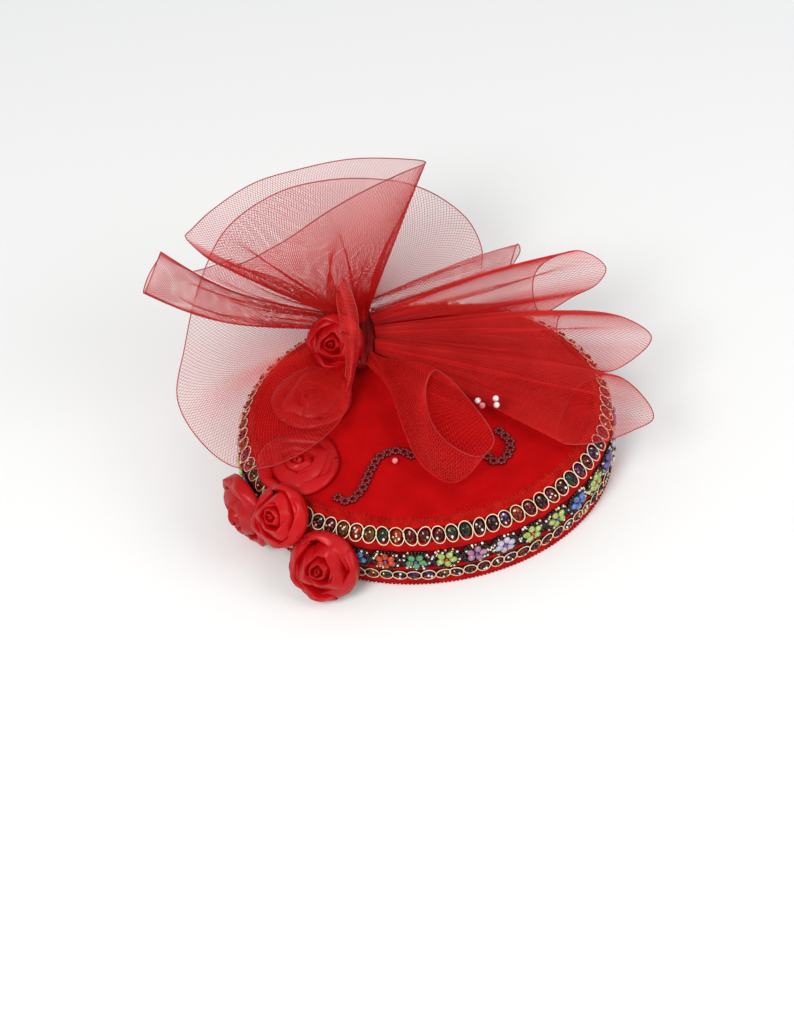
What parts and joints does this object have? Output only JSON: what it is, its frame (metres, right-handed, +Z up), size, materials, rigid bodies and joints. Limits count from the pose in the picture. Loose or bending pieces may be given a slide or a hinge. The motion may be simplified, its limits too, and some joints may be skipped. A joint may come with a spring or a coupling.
{
  "type": "pillbox hat",
  "caption": "Oval pillbox hat with a hollow crown, a beaded band round the wall, rolled ribbon roses and a tall bow of stiff open braid on the tip.",
  "frame": {"origin": "middle of the foot of the whole hat's box, on the surface that the rim rests on", "axes": "+X is the front of the hat, +Z up, -Y the wearer's right"},
  "size_m": [0.2624, 0.2206, 0.1522],
  "materials": {
    "felt": "red felt, fine nap, matt",
    "pile_ribbon": "red pile ribbon, fuzzy edges, matt",
    "bead_ring": "pale gold thread rings round small glossy beads",
    "bead_flower": "black and gold seed beads with coloured bead flowers",
    "braid": "red open horsehair braid, see-through, slight gloss",
    "satin": "red satin ribbon, soft gloss",
    "bead_dark": "dark red glossy beads"
  },
  "bodies": {
    "root": {"crown": "felt", "trim_backing": "pile_ribbon", "trim_lower_rings": "bead_ring", "trim_flower_row": "bead_flower", "trim_upper_rings": "bead_ring", "bow_knot": "braid", "braid_upright_loop": "braid", "braid_left_loop": "braid", "braid_front_loop_a": "braid", "braid_front_loop_b": "braid", "braid_front_loop_c": "braid", "braid_front_loop_d": "braid", "braid_near_loop": "braid", "braid_wheel": "braid", "rose_back_left": "satin", "rose_side": "satin", "rose_back_mid": "satin", "rose_tip": "satin", "rose_under_braid": "satin", "rose_bow": "satin", "bead_scroll_back": "bead_dark", "bead_scroll_front": "bead_dark"}
  },
  "joints": []
}
